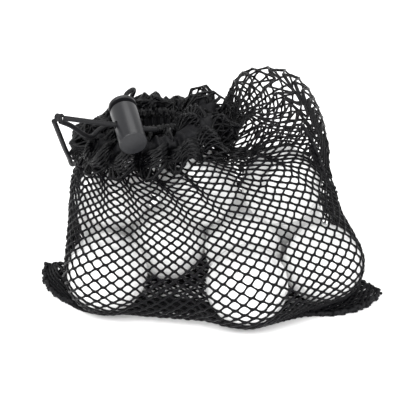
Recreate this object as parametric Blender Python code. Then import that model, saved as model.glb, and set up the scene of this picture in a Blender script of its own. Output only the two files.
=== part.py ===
"""Drawstring net bag full of golf balls, drawn shut by a spring cord lock. Metres, +Z up, resting on the plane Z = 0."""

import math

import bmesh
import bpy
import numpy as np
from mathutils import Vector

MM = 0.001

# Where the middle of the bag's footprint lies in the working coordinates below, which are millimetres.
FRAME_X = -1.5
FRAME_Y = 29.77

# Golf balls: 42.7 mm across. The bottom layer stands on the netting.
BALL_R = 21.35
BALL_FLOOR = 22.4
BALLS = {
    "ball_front_left": (-55.5, 0.0, BALL_FLOOR),
    "ball_front_middle": (-24.6, 36.5, BALL_FLOOR),
    "ball_front_centre": (18.2, -14.4, BALL_FLOOR),
    "ball_front_right": (59.3, 10.2, BALL_FLOOR),
    "ball_upper_left": (-54.0, 32.0, 56.0),
    "ball_upper_middle": (-7.9, 25.2, 60.5),
    "ball_upper_right": (37.4, 27.9, 60.0),
    "ball_upper_back": (-27.0, 66.0, 60.0),
    "ball_back_left": (-56.0, 66.0, BALL_FLOOR),
    "ball_inner": (17.4, 28.6, BALL_FLOOR),
    "ball_back_right": (43.0, 63.2, BALL_FLOOR),
    "ball_back_middle": (0.0, 74.0, BALL_FLOOR),
}

# Netting: thickness of the laid fabric, its gap to a ball, and the axis that the wall is measured from.
NET_T = 0.9
NET_GAP = 1.5
BALL_CLEAR = 0.6
BASE_T = 0.75
AXIS_X, AXIS_Y = -2.0, 32.0
WALL_FOOT = 1.15
WALL_HEIGHTS = (WALL_FOOT, 1.8, 2.8, 4.4, 7.0, 10.5, 15.0, 21.0, 28.0, 37.0, 46.0, 55.0, 62.0, 68.0, 72.5)
TOP_STEPS = 11
SPLIT_DEG = 0.35
CLING, CLING_SHARE, CLING_DEPTH = 9.0, 0.3, 14.0

# Mouth of the bag, an ellipse, and the gathered roll of netting around it.
MOUTH_X, MOUTH_Y = -32.0, 42.0
MOUTH_RX, MOUTH_RY = 27.0, 20.0
GATHER_RX, GATHER_RY = 30.0, 25.0
GATHER_FOOT, GATHER_TILT = 84.0, 3.5
GATHER_HALF_W = 7.3
GATHER_H, GATHER_H_RIGHT, GATHER_H_BACK = 12.5, 2.0, 3.0
PLEATS = 22
HEM_RX, HEM_RY, HEM_Z = 18.6, 13.8, 91.5
HEM_END_DEG = 120.0
HEM_R, HEM_BORE_R = 3.0, 1.95

# Slack crown of netting that stands up beside the mouth.
CROWN_X, CROWN_Y, CROWN_A, CROWN_B = 37.0, 46.0, 29.4, 24.0
CROWN_LEAN, CROWN_FULL = 7.5, 0.72
CROWN_LOWEST, CROWN_TOP, CROWN_T, CROWN_GAP = 62.0, 117.0, 1.3, 1.6

# Drawcord and cord lock.
CORD_R = 1.3
LOCK_AT = np.array((-42.2, 6.2, 102.2))
LOCK_DOWN = np.array((0.247, -0.902, -0.355)) / np.linalg.norm((0.247, -0.902, -0.355))
CORD_TILT = math.radians(22.0)
CORD_REACH = 36.7
KNOT_R = 2.0
LOCK_R = 7.0
LOCK_LEN = 25.0
LOCK_BORE_R = 4.75
LOCK_FLOOR_T = 4.0
CORD_HOLE_R = 2.1
CORD_HOLE_AT = 13.0
PLUNGER_R = 4.45
PLUNGER_FOOT = 9.0
CAP_R, CAP_T = 7.2, 2.0
CAP_GAP = 2.8
PRESS_TRAVEL = 2.4
SPRING_R, SPRING_WIRE_R, SPRING_TURNS = 3.4, 0.4, 4


def clear_scene():
    for obj in list(bpy.data.objects):
        bpy.data.objects.remove(obj, do_unlink=True)


def material(name, colour, metallic, rough):
    mat = bpy.data.materials.new(name)
    mat.use_nodes = True
    bsdf = mat.node_tree.nodes["Principled BSDF"]
    bsdf.inputs["Base Color"].default_value = (*colour, 1.0)
    bsdf.inputs["Metallic"].default_value = metallic
    bsdf.inputs["Roughness"].default_value = rough
    return mat


def world(points):
    return (np.asarray(points, float) - (FRAME_X, FRAME_Y, 0.0)) * MM


def add_mesh(name, points, faces, mat, origin=None):
    """A closed mesh from points in working millimetres, with its origin at a given working point."""
    at = world(origin) if origin is not None else np.zeros(3)
    mesh = bpy.data.meshes.new(name)
    mesh.from_pydata([tuple(p) for p in world(points) - at], [], [tuple(int(i) for i in f) for f in faces])
    mesh.update()
    bm = bmesh.new()
    bm.from_mesh(mesh)
    bmesh.ops.recalc_face_normals(bm, faces=bm.faces)
    bm.to_mesh(mesh)
    bm.free()
    obj = bpy.data.objects.new(name, mesh)
    obj.location = Vector(tuple(at))
    bpy.context.scene.collection.objects.link(obj)
    mesh.materials.append(material(name + "_mat", *mat))
    return obj


def grid_slab(inner, outer):
    """A closed slab between two grids of points of the same shape (rows, columns, 3)."""
    rows, cols = inner.shape[:2]
    points = np.concatenate([inner.reshape(-1, 3), outer.reshape(-1, 3)])
    first = rows * cols
    faces = []
    for i in range(rows - 1):
        for j in range(cols - 1):
            a, b, c, d = i * cols + j, i * cols + j + 1, (i + 1) * cols + j + 1, (i + 1) * cols + j
            faces.append((a, b, c, d))
            faces.append((first + d, first + c, first + b, first + a))
    edge = [j for j in range(cols)]
    edge += [i * cols + cols - 1 for i in range(1, rows)]
    edge += [(rows - 1) * cols + j for j in range(cols - 2, -1, -1)]
    edge += [i * cols for i in range(rows - 2, 0, -1)]
    for k, a in enumerate(edge):
        b = edge[(k + 1) % len(edge)]
        faces.append((a, b, first + b, first + a))
    return points, faces


def ring_loft(rings, capped=True):
    """Closed solid through rings of the same count of points, with a fan over each end."""
    rings = [np.asarray(r, float) for r in rings]
    n = len(rings[0])
    points = np.concatenate(rings)
    faces = []
    for k in range(len(rings) - 1):
        for j in range(n):
            a, b = k * n + j, k * n + (j + 1) % n
            faces.append((a, b, b + n, a + n))
    if capped:
        faces.append(tuple(range(n)))
        faces.append(tuple((len(rings) - 1) * n + j for j in range(n)))
    return points, faces


# The wall of the bag is the convex envelope of the balls, moved out by a gap.
def envelope_directions():
    lat = np.radians(np.arange(-85.0, 86.0, 5.0))
    lon = np.radians(np.arange(0.0, 360.0, 5.0))
    la, lo = np.meshgrid(lat, lon, indexing="ij")
    side = np.stack([np.cos(la) * np.cos(lo), np.cos(la) * np.sin(lo), np.sin(la)], -1).reshape(-1, 3)
    return np.concatenate([side, [[0.0, 0.0, 1.0], [0.0, 0.0, -1.0]]])


CENTRES = np.array(list(BALLS.values()))
DIRECTIONS = envelope_directions()
REACH = (CENTRES @ DIRECTIONS.T).max(axis=0) + BALL_R


def wall_radius(angle, z, gap):
    """Distance from the wall's axis to the envelope, at an angle and a height."""
    across = DIRECTIONS[:, 0] * math.cos(angle) + DIRECTIONS[:, 1] * math.sin(angle)
    rest = REACH + gap - DIRECTIONS @ np.array((AXIS_X, AXIS_Y, z))
    ahead = across > 0.03
    return float((rest[ahead] / across[ahead]).min())


def closeness(points):
    """Distance from points to the balls, softened where several balls are near."""
    far = np.linalg.norm(points[:, None, :] - CENTRES[None], axis=-1) - BALL_R
    low = far.min(axis=1)
    return low - CLING * np.log(np.exp(-(far - low[:, None]) / CLING).sum(axis=1))


def first_below(points, gap):
    """Where a row of points first comes within a gap of the balls, as a fraction of the row, or None."""
    near = closeness(points) < gap
    return None if not near.any() else int(near.argmax())


def cling_radius(angle, z, gap):
    """Distance from the wall's axis to the netting pressed in between the balls."""
    hull = wall_radius(angle, z, gap)
    runs = np.linspace(hull, 4.0, 700)
    points = np.stack([AXIS_X + runs * math.cos(angle), AXIS_Y + runs * math.sin(angle), np.full(len(runs), z)], -1)
    at = first_below(points, gap)
    return hull if at is None else runs[at]


def wall_point(angle, z, gap):
    hull, cling = wall_radius(angle, z, gap), cling_radius(angle, z, gap)
    r = max(hull * (1 - CLING_SHARE) + cling * CLING_SHARE, hull - CLING_DEPTH)
    return np.array((AXIS_X + r * math.cos(angle), AXIS_Y + r * math.sin(angle), z))


def top_height(x, y, gap):
    """Height of the envelope over a point of the plan."""
    up = DIRECTIONS[:, 2] > 0.03
    rest = REACH[up] + gap - DIRECTIONS[up, 0] * x - DIRECTIONS[up, 1] * y
    hull = float((rest / DIRECTIONS[up, 2]).min())
    runs = np.linspace(hull, 30.0, 500)
    at = first_below(np.stack([np.full(len(runs), x), np.full(len(runs), y), runs], -1), gap)
    cling = hull if at is None else runs[at]
    return max(hull * (1 - CLING_SHARE) + cling * CLING_SHARE, hull - CLING_DEPTH)


def gather_foot(a):
    """Height of the underside of the gathered roll, which leans down to the left."""
    return GATHER_FOOT + GATHER_TILT * math.cos(a)


def laid_height(x, y, gap):
    """Height of the netting over the balls, drawn up to the gathered roll as it nears the mouth."""
    height = top_height(x, y, gap)
    near = math.hypot((x - MOUTH_X) / GATHER_RX, (y - MOUTH_Y) / GATHER_RY)
    foot = gather_foot(math.atan2((y - MOUTH_Y) / GATHER_RY, (x - MOUTH_X) / GATHER_RX))
    share = min(1.0, max(0.0, (1.55 - near) / 0.5))
    share = share * share * (3 - 2 * share)
    return height + max(0.0, foot - 0.45 - (NET_GAP + NET_T - gap) - height) * share


def clear_of_balls(inner, outer):
    """Moves a wall's points out where one of its flat faces would cut into a ball."""
    inner, outer = inner.copy(), outer.copy()
    for _ in range(20):
        shift = np.zeros_like(inner)
        corners = (inner[:-1, :-1], inner[:-1, 1:], inner[1:, 1:], inner[1:, :-1])
        shifts = (shift[:-1, :-1], shift[:-1, 1:], shift[1:, 1:], shift[1:, :-1])
        steps = (0.0, 0.25, 0.5, 0.75, 1.0)
        samples = [((1 - u) * (1 - v), u * (1 - v), u * v, (1 - u) * v) for u in steps for v in steps]
        samples += [(1 - u, 0.0, u, 0.0) for u in steps[1:4]] + [(0.0, 1 - u, 0.0, u) for u in steps[1:4]]
        for weights in samples:
            point = sum(w * c for w, c in zip(weights, corners))
            off = point[..., None, :] - CENTRES
            far = np.linalg.norm(off, axis=-1)
            near = far.argmin(axis=-1)
            gap = np.take_along_axis(far, near[..., None], -1)[..., 0]
            away = np.take_along_axis(off, near[..., None, None], -2)[..., 0, :] / gap[..., None]
            level = away * (1.0, 1.0, 0.0)
            level = level / np.maximum((level**2).sum(axis=-1), 0.12)[..., None]
            rising = (point[..., 2] > 66.0)[..., None]
            push = np.clip(BALL_R + BALL_CLEAR - gap, 0.0, None)[..., None] * np.where(rising, away, level)
            for w, s in zip(weights, shifts):
                if w > 0.0:
                    np.copyto(s, np.where(np.abs(push) > np.abs(s), push, s))
        if not shift.any():
            break
        inner += shift
        outer += shift
    return inner, outer


def net_panel(name, start_deg, end_deg, columns, mat):
    """Half of the bag's wall, from the table up over the balls to the mouth."""
    angles = np.radians(np.linspace(start_deg, end_deg, columns))
    grids = []
    for gap in (NET_GAP, NET_GAP + NET_T):
        rows = [[wall_point(a, z, gap) for a in angles] for z in WALL_HEIGHTS]
        rim = rows[-1]
        for step in range(1, TOP_STEPS + 1):
            share = step / TOP_STEPS
            row = []
            for a, p in zip(angles, rim):
                mouth = np.array((MOUTH_X + MOUTH_RX * math.cos(a), MOUTH_Y + MOUTH_RY * math.sin(a)))
                plan = p[:2] * (1 - share) + mouth * share
                row.append(np.array((plan[0], plan[1], laid_height(plan[0], plan[1], gap))))
            rows.append(row)
        grids.append(np.array(rows))
    return add_mesh(name, *grid_slab(*clear_of_balls(*grids)), mat)


def foot_outline(out, count):
    """Plan outline of the balls' contact points, moved out by a distance."""
    low = CENTRES[CENTRES[:, 2] < BALL_FLOOR + 1.0][:, :2]
    angles = np.linspace(0.0, 2 * math.pi, 180, endpoint=False)
    normals = np.stack([np.cos(angles), np.sin(angles)], -1)
    reach = (low @ normals.T).max(axis=0) + out
    points = []
    for t in np.linspace(0.0, 2 * math.pi, count, endpoint=False):
        ray = np.array((math.cos(t), math.sin(t)))
        across = normals @ ray
        ahead = across > 0.03
        r = ((reach - normals @ (AXIS_X, AXIS_Y))[ahead] / across[ahead]).min()
        points.append((AXIS_X + r * ray[0], AXIS_Y + r * ray[1]))
    return np.array(points)


def net_base(mat):
    outline = foot_outline(13.6, 56)
    low = np.column_stack([outline, np.zeros(len(outline))])
    high = np.column_stack([outline, np.full(len(outline), BASE_T)])
    return add_mesh("net_base", *ring_loft([low, high]), mat)


def corner(name, root, tip, bow, height, folds, mat):
    """An empty corner of the bag, flattened on the table: a low ridged solid from its root line to its tip line."""
    root, tip = np.array(root, float), np.array(tip, float)
    rows, cols = 9, 11
    low, high = [], []
    out = tip.mean(axis=0) - root.mean(axis=0)
    out /= np.linalg.norm(out)
    for i in range(rows):
        s = i / (rows - 1)
        a = root[0] * (1 - s) + tip[0] * s
        b = root[1] * (1 - s) + tip[1] * s
        low_row, high_row = [], []
        for j in range(cols):
            t = j / (cols - 1)
            p = a * (1 - t) + b * t + out * bow * (1 - s) * math.sin(math.pi * t) ** 0.7
            rise = height * math.sin(math.pi * (0.1 + 0.78 * s)) * math.sin(math.pi * (0.08 + 0.84 * t)) ** 0.6
            rise *= 1 + 0.18 * math.cos(2 * math.pi * folds * t)
            low_row.append((p[0], p[1], 0.0))
            high_row.append((p[0], p[1], max(1.4, rise)))
        low.append(low_row)
        high.append(high_row)
    return add_mesh(name, *grid_slab(np.array(low), np.array(high)), mat)


def gather_lobe(name, start_deg, end_deg, mat):
    """A quarter of the gathered roll of netting around the mouth, pleated across."""
    steps, sides = 17, 14
    rings = []
    for k in range(steps):
        a = math.radians(start_deg + (end_deg - start_deg) * k / (steps - 1))
        half_h = 0.5 * (GATHER_H + GATHER_H_RIGHT * math.cos(a) + GATHER_H_BACK * math.sin(a))
        pleat = 0.5 * math.cos(PLEATS * a)
        centre = np.array((MOUTH_X + GATHER_RX * math.cos(a), MOUTH_Y + GATHER_RY * math.sin(a)))
        out = np.array((math.cos(a) / GATHER_RX, math.sin(a) / GATHER_RY))
        out /= np.linalg.norm(out)
        ring = []
        for j in range(sides):
            t = 2 * math.pi * j / sides
            w = (GATHER_HALF_W + pleat - 0.5) * math.cos(t)
            h = (half_h + pleat - 0.5) * math.sin(t)
            ring.append((centre[0] + out[0] * w, centre[1] + out[1] * w, gather_foot(a) + half_h + h))
        rings.append(ring)
    return add_mesh(name, *ring_loft(rings), mat)


def hem(mat):
    """The casing sewn around the mouth: an open-ended hollow tube that the drawcord runs in."""
    steps, sides = 30, 10
    start, end = math.radians(-HEM_END_DEG), math.radians(HEM_END_DEG)
    outer, inner = [], []
    for k in range(steps + 1):
        a = start + (end - start) * k / steps
        centre = np.array((MOUTH_X + HEM_RX * math.cos(a), MOUTH_Y + HEM_RY * math.sin(a), HEM_Z))
        out = np.array((HEM_RY * math.cos(a), HEM_RX * math.sin(a), 0.0))
        out /= np.linalg.norm(out)
        up = np.array((0.0, 0.0, 1.0))
        for radius, rings in ((HEM_R, outer), (HEM_BORE_R, inner)):
            rings.append([centre + radius * (out * math.cos(t) + up * math.sin(t)) for t in 2 * math.pi * np.arange(sides) / sides])
    points = np.concatenate([np.array(outer).reshape(-1, 3), np.array(inner).reshape(-1, 3)])
    first = (steps + 1) * sides
    faces = []
    for k in range(steps):
        for j in range(sides):
            a, b = k * sides + j, k * sides + (j + 1) % sides
            faces.append((a, b, b + sides, a + sides))
            faces.append((first + a + sides, first + b + sides, first + b, first + a))
    for k in (0, steps):
        for j in range(sides):
            a, b = k * sides + j, k * sides + (j + 1) % sides
            faces.append((a, b, first + b, first + a))
    return add_mesh("mouth_hem", *(points, faces), mat)


def crown(mat):
    """Slack netting that stands in a rounded hood, open below."""
    around, rise = 30, 9
    points, faces = [], []
    for shrink in (0.0, CROWN_T):
        for k in range(rise):
            e = math.radians(84.0) * k / (rise - 1)
            for j in range(around):
                t = 2 * math.pi * j / around
                bulge = 1 + 0.03 * math.cos(3 * t + 0.6)
                rim_x = CROWN_X + (CROWN_A * bulge - CROWN_T) * math.cos(t)
                rim_y = CROWN_Y + (CROWN_B * bulge - CROWN_T) * math.sin(t)
                foot = max(laid_height(rim_x, rim_y, NET_GAP + NET_T + CROWN_GAP), CROWN_LOWEST)
                points.append((
                    CROWN_X - CROWN_LEAN * math.sin(e) + (CROWN_A * bulge - shrink) * math.cos(e) ** CROWN_FULL * math.cos(t),
                    CROWN_Y + (CROWN_B * bulge - shrink) * math.cos(e) ** CROWN_FULL * math.sin(t),
                    foot + (CROWN_TOP - foot - shrink) * math.sin(e),
                ))
        points.append((CROWN_X - CROWN_LEAN, CROWN_Y, CROWN_TOP - shrink))
    shell = rise * around + 1
    for s in (0, 1):
        base = s * shell
        for k in range(rise - 1):
            for j in range(around):
                a, b = base + k * around + j, base + k * around + (j + 1) % around
                faces.append((a, b, b + around, a + around))
        for j in range(around):
            a, b = base + (rise - 1) * around + j, base + (rise - 1) * around + (j + 1) % around
            faces.append((a, b, base + rise * around))
    for j in range(around):
        a, b = j, (j + 1) % around
        faces.append((a, b, shell + b, shell + a))
    return add_mesh("net_crown", points, faces, mat)


def smooth_path(points, spacing):
    """Points read evenly off a Catmull-Rom curve through the given ones."""
    pts = np.array(points, float)
    ext = np.vstack([2 * pts[0] - pts[1], pts, 2 * pts[-1] - pts[-2]])
    fine = []
    for i in range(1, len(ext) - 2):
        p0, p1, p2, p3 = ext[i - 1], ext[i], ext[i + 1], ext[i + 2]
        for t in np.linspace(0, 1, 40, endpoint=False):
            fine.append(0.5 * (2 * p1 + (p2 - p0) * t + (2 * p0 - 5 * p1 + 4 * p2 - p3) * t**2 + (3 * p1 - p0 - 3 * p2 + p3) * t**3))
    fine = np.array(fine + [pts[-1]])
    run = np.concatenate([[0], np.cumsum(np.linalg.norm(np.diff(fine, axis=0), axis=1))])
    count = max(2, int(round(run[-1] / spacing)) + 1)
    at = np.linspace(0, run[-1], count)
    return np.stack([np.interp(at, run, fine[:, k]) for k in range(3)], -1)


def cord(name, points, radius, mat, spacing=7.0, resolution=2):
    """A round cord as a curve with a bevel and filled ends."""
    path = world(smooth_path(points, spacing))
    data = bpy.data.curves.new(name, "CURVE")
    data.dimensions = "3D"
    data.bevel_depth = radius * MM
    data.bevel_resolution = resolution
    data.use_fill_caps = True
    spline = data.splines.new("POLY")
    spline.points.add(len(path) - 1)
    for point, p in zip(spline.points, path):
        point.co = (*p, 1.0)
    obj = bpy.data.objects.new(name, data)
    bpy.context.scene.collection.objects.link(obj)
    data.materials.append(material(name + "_mat", *mat))
    return obj


# Directions of the cord lock: along the barrel, along the cord through it, and across both.
AXIS_UP = -LOCK_DOWN
_level = np.array((-1.0, 0.0, 0.0)) + LOCK_DOWN[0] * LOCK_DOWN
_level /= np.linalg.norm(_level)
_raise = np.cross(_level, LOCK_DOWN)
CORD_DIR = _level * math.cos(CORD_TILT) + _raise * math.sin(CORD_TILT)
CORD_DIR /= np.linalg.norm(CORD_DIR)
ACROSS = np.cross(AXIS_UP, CORD_DIR)
LOCK_FOOT = LOCK_AT - AXIS_UP * CORD_HOLE_AT


def lock_point(x, y, z):
    """x along the cord, y across, z up the barrel from its closed end."""
    return LOCK_FOOT + CORD_DIR * x + ACROSS * y + AXIS_UP * z


def lathe(profile, sides=32):
    """Solid of revolution about the barrel's axis from (radius, height) pairs; the first and last lie on the axis."""
    points, faces = [], []
    rings = []
    for r, h in profile:
        if r <= 1e-9:
            rings.append([len(points)])
            points.append(lock_point(0, 0, h))
        else:
            rings.append(list(range(len(points), len(points) + sides)))
            for j in range(sides):
                t = 2 * math.pi * (j + 0.5) / sides
                points.append(lock_point(r * math.cos(t), r * math.sin(t), h))
    for one, two in zip(rings, rings[1:]):
        for j in range(sides):
            k = (j + 1) % sides
            if len(one) == 1:
                faces.append((one[0], two[j], two[k]))
            elif len(two) == 1:
                faces.append((one[j], one[k], two[0]))
            else:
                faces.append((one[j], one[k], two[k], two[j]))
    return points, faces


def rod(name, half_len, radius, height, stretch=0.0, sides=24):
    """A helper rod along the cord's direction, stretched along the barrel to cut a slot."""
    rings = []
    for x in (-half_len, half_len):
        ring = []
        for j in range(sides):
            t = 2 * math.pi * j / sides
            lift = stretch if math.sin(t) > 0 else 0.0
            ring.append(lock_point(x, radius * math.cos(t), height + radius * math.sin(t) + lift))
        rings.append(ring)
    obj = add_mesh(name, *ring_loft(rings), ((0.5, 0.5, 0.5), 0.0, 0.5), origin=LOCK_AT)
    obj.hide_render = True
    obj.display_type = "WIRE"
    return obj


def cut(obj, cutter):
    mod = obj.modifiers.new("cord_hole", "BOOLEAN")
    mod.operation = "DIFFERENCE"
    mod.solver = "EXACT"
    mod.object = cutter


def cord_lock(black, cap_black, steel):
    edge = 0.7
    barrel = add_mesh("lock_barrel", *lathe([
        (0, 0), (LOCK_R - edge, 0), (LOCK_R, edge), (LOCK_R, LOCK_LEN - 0.4), (LOCK_R - 0.4, LOCK_LEN),
        (LOCK_BORE_R, LOCK_LEN), (LOCK_BORE_R, LOCK_FLOOR_T), (0, LOCK_FLOOR_T)]), black, origin=LOCK_AT)
    cut(barrel, rod("cutter_barrel", 12.0, CORD_HOLE_R, CORD_HOLE_AT))
    low = LOCK_LEN + CAP_GAP
    plunger = add_mesh("lock_plunger", *lathe([
        (0, PLUNGER_FOOT), (PLUNGER_R, PLUNGER_FOOT), (PLUNGER_R, low), (CAP_R - 0.5, low), (CAP_R, low + 0.5),
        (CAP_R, low + CAP_T - 0.6), (CAP_R - 0.6, low + CAP_T), (0, low + CAP_T)]), cap_black, origin=lock_point(0, 0, low))
    cut(plunger, rod("cutter_plunger", 8.0, CORD_HOLE_R - 0.2, CORD_HOLE_AT, stretch=PRESS_TRAVEL + 0.5))
    # Spring between the barrel's floor and the plunger.
    steps = SPRING_TURNS * 16
    path = []
    low_z, high_z = LOCK_FLOOR_T + SPRING_WIRE_R + 0.3, PLUNGER_FOOT - SPRING_WIRE_R - 0.3
    for k in range(steps + 1):
        t = 2 * math.pi * SPRING_TURNS * k / steps
        path.append(lock_point(SPRING_R * math.cos(t), SPRING_R * math.sin(t), low_z + (high_z - low_z) * k / steps))
    path = world(path)
    data = bpy.data.curves.new("lock_spring", "CURVE")
    data.dimensions = "3D"
    data.bevel_depth = SPRING_WIRE_R * MM
    data.bevel_resolution = 1
    data.use_fill_caps = True
    spline = data.splines.new("POLY")
    spline.points.add(len(path) - 1)
    for point, p in zip(spline.points, path):
        point.co = (*p, 1.0)
    spring = bpy.data.objects.new("lock_spring", data)
    bpy.context.scene.collection.objects.link(spring)
    data.materials.append(material("lock_spring_mat", *steel))
    return barrel, plunger


def ball(name, at, mat):
    mesh = bpy.data.meshes.new(name)
    bm = bmesh.new()
    bmesh.ops.create_icosphere(bm, subdivisions=3, radius=BALL_R * MM)
    bm.to_mesh(mesh)
    bm.free()
    obj = bpy.data.objects.new(name, mesh)
    obj.location = Vector(tuple(world(at)))
    bpy.context.scene.collection.objects.link(obj)
    mesh.materials.append(material(name + "_mat", *mat))
    return obj


def side_seam(name, deg, low_z, high_z, mat):
    """Sewn edge that runs up the wall between the two panels."""
    points = [wall_point(math.radians(deg), z, NET_GAP + NET_T + 1.9) for z in np.linspace(low_z, high_z, 17)]
    return cord(name, points, 1.0, mat, spacing=4.0, resolution=1)


def main():
    clear_scene()
    net = ((0.02, 0.02, 0.024), 0.0, 0.75)
    sewn = ((0.015, 0.015, 0.018), 0.0, 0.8)
    white = ((0.87, 0.87, 0.86), 0.0, 0.25)
    for name, at in BALLS.items():
        ball(name, at, white)
    net_base(net)
    net_panel("net_front", 180.0 + SPLIT_DEG, 360.0 - SPLIT_DEG, 37, net)
    net_panel("net_back", SPLIT_DEG, 180.0 - SPLIT_DEG, 33, net)
    corner("corner_left", ((-71.4, -5.0), (-74.5, 52.0)), ((-91.0, 12.0), (-98.0, 47.0)), 0.0, 8.5, 2, net)
    corner("corner_right", ((61.0, -17.0), (82.0, 39.0)), ((89.0, -2.0), (95.0, 20.0)), 5.4, 7.0, 2, net)
    crown(net)
    gather_lobe("gather_front", 226.0, 316.5, net)
    gather_lobe("gather_right", 318.0, 404.0, net)
    gather_lobe("gather_back", 45.5, 134.5, net)
    gather_lobe("gather_left", 136.0, 224.5, net)
    hem(net)
    side_seam("seam_left", 180.0, 10.5, 72.0, sewn)
    side_seam("seam_right", 0.0, 9.0, 58.0, sewn)
    outline = foot_outline(15.6, 240)
    front = [(p[0], p[1], 1.25) for p in outline if p[1] < 12.0 and -66.0 < p[0] < 57.0]
    front.sort(key=lambda p: p[0])
    cord("seam_bottom", front[::6] + [front[-1]], 1.2, sewn, spacing=5.5, resolution=1)
    cord_lock(((0.045, 0.046, 0.05), 0.0, 0.32), ((0.03, 0.03, 0.033), 0.0, 0.35), ((0.6, 0.6, 0.62), 1.0, 0.3))
    black = ((0.018, 0.018, 0.02), 0.0, 0.7)
    # Drawcord: from the knot through the casing around the mouth, and back to the knot as a loop that hangs at the left.
    tip = LOCK_AT + CORD_DIR * CORD_REACH
    ring = [
        (MOUTH_X + HEM_RX * math.cos(a), MOUTH_Y + HEM_RY * math.sin(a), HEM_Z)
        for a in np.radians(np.linspace(-HEM_END_DEG, HEM_END_DEG, 19))
    ]
    out_strand = [tip + (0.3, 2.2, -2.9), (-70.5, 2.5, 104.0), (-65.8, 10.0, 96.8), (-62.3, 18.0, 92.2), (-59.0, 23.8, 93.6), (-53.5, 28.6, 94.8), (-48.5, 31.0, 93.8), (-45.0, 30.8, 92.2)]
    loop = [(-45.5, 53.2, 93.6), (-47.8, 55.8, 97.0), (-46.8, 60.8, 100.3), (-43.8, 66.6, 101.0), (-43.6, 72.8, 97.6), (-47.5, 78.5, 89.0), (-55.0, 81.5, 80.5), (-64.0, 80.0, 71.5), (-71.5, 72.5, 64.0), (-76.0, 60.0, 61.0), (-77.0, 47.0, 64.5), (-76.4, 31.0, 75.5), (-76.6, 18.0, 86.0), (-76.8, 5.0, 97.5), tip + (-2.6, 0.4, -2.0)]
    cord("drawcord", out_strand + ring + loop, CORD_R, black, spacing=5.6)
    pull = [(-28.6, 14.6, 97.4)] + [LOCK_AT + CORD_DIR * s for s in (-9.5, 0.0, 9.0, 18.0, 26.5, CORD_REACH - KNOT_R - 0.4)]
    cord("drawcord_pull", pull, CORD_R, black, spacing=5.6)
    sides, rows = 14, 9
    points, faces = [], []
    for i in range(rows):
        e = math.pi * (i + 0.5) / rows
        for j in range(sides):
            t = 2 * math.pi * j / sides
            r = KNOT_R * (1 + 0.04 * math.cos(3 * t + 2 * e))
            points.append(tip + CORD_DIR * (r * math.cos(e)) + ACROSS * (r * math.sin(e) * math.cos(t)) + AXIS_UP * (r * math.sin(e) * math.sin(t)))
    for i in range(rows - 1):
        for j in range(sides):
            a, b = i * sides + j, i * sides + (j + 1) % sides
            faces.append((a, b, b + sides, a + sides))
    faces.append(tuple(range(sides)))
    faces.append(tuple((rows - 1) * sides + j for j in range(sides)))
    add_mesh("drawcord_knot", points, faces, black, origin=tip)


main()
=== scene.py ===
import math

import bmesh
import bpy
import numpy as np
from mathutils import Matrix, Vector

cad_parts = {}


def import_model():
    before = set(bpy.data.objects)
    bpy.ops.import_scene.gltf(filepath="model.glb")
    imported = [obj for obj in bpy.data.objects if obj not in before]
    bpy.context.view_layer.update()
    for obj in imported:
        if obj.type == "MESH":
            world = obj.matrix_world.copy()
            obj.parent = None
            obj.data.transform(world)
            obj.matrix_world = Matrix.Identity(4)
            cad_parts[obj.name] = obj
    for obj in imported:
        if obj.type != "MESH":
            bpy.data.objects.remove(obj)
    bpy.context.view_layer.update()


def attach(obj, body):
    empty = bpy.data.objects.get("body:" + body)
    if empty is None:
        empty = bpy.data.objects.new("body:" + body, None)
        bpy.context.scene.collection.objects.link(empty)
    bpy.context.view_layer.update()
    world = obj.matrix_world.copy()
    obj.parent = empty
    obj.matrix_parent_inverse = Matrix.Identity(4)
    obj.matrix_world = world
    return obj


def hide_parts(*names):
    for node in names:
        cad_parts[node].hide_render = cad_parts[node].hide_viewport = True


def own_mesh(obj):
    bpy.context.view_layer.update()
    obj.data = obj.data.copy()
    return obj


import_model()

MM = 0.001
FRAME_X, FRAME_Y = -1.5, 29.77

# ---------------------------------------------------------------- layout, in the CAD's working millimetres
BALL_R = 21.35
BALLS = {
    "ball_front_left": (-55.5, 0.0, 22.4),
    "ball_front_middle": (-24.6, 36.5, 22.4),
    "ball_front_centre": (18.2, -14.4, 22.4),
    "ball_front_right": (59.3, 10.2, 22.4),
    "ball_upper_left": (-54.0, 32.0, 56.0),
    "ball_upper_middle": (-7.9, 25.2, 60.5),
    "ball_upper_right": (37.4, 27.9, 60.0),
    "ball_upper_back": (-27.0, 66.0, 60.0),
    "ball_back_left": (-56.0, 66.0, 22.4),
    "ball_inner": (17.4, 28.6, 22.4),
    "ball_back_right": (43.0, 63.2, 22.4),
    "ball_back_middle": (0.0, 74.0, 22.4),
}
CENTRES = np.array(list(BALLS.values()))
AXIS_X, AXIS_Y = -2.0, 32.0
MOUTH_X, MOUTH_Y = -32.0, 42.0
GATHER_RX, GATHER_RY, GATHER_FOOT, GATHER_TILT = 30.0, 25.0, 84.0, 3.5
GATHER_H, GATHER_H_RIGHT, GATHER_H_BACK = 12.5, 2.0, 3.0
HEM_RX, HEM_RY, HEM_Z, HEM_END_DEG = 18.6, 13.8, 91.5, 120.0
CORD_R = 1.3
LOCK_AT = np.array((-42.2, 6.2, 102.2))
LOCK_DOWN = np.array((0.247, -0.902, -0.355)) / np.linalg.norm((0.247, -0.902, -0.355))
AXIS_UP = -LOCK_DOWN
_level = np.array((-1.0, 0.0, 0.0)) + LOCK_DOWN[0] * LOCK_DOWN
_level /= np.linalg.norm(_level)
_raise = np.cross(_level, LOCK_DOWN)
CORD_DIR = _level * math.cos(math.radians(22.0)) + _raise * math.sin(math.radians(22.0))
CORD_DIR /= np.linalg.norm(CORD_DIR)
ACROSS = np.cross(AXIS_UP, CORD_DIR)
LOCK_R, LOCK_LEN, LOCK_BORE_R, LOCK_FLOOR_T = 7.0, 25.0, 4.75, 4.0
CORD_HOLE_R, CORD_HOLE_AT = 2.1, 13.0
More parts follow.
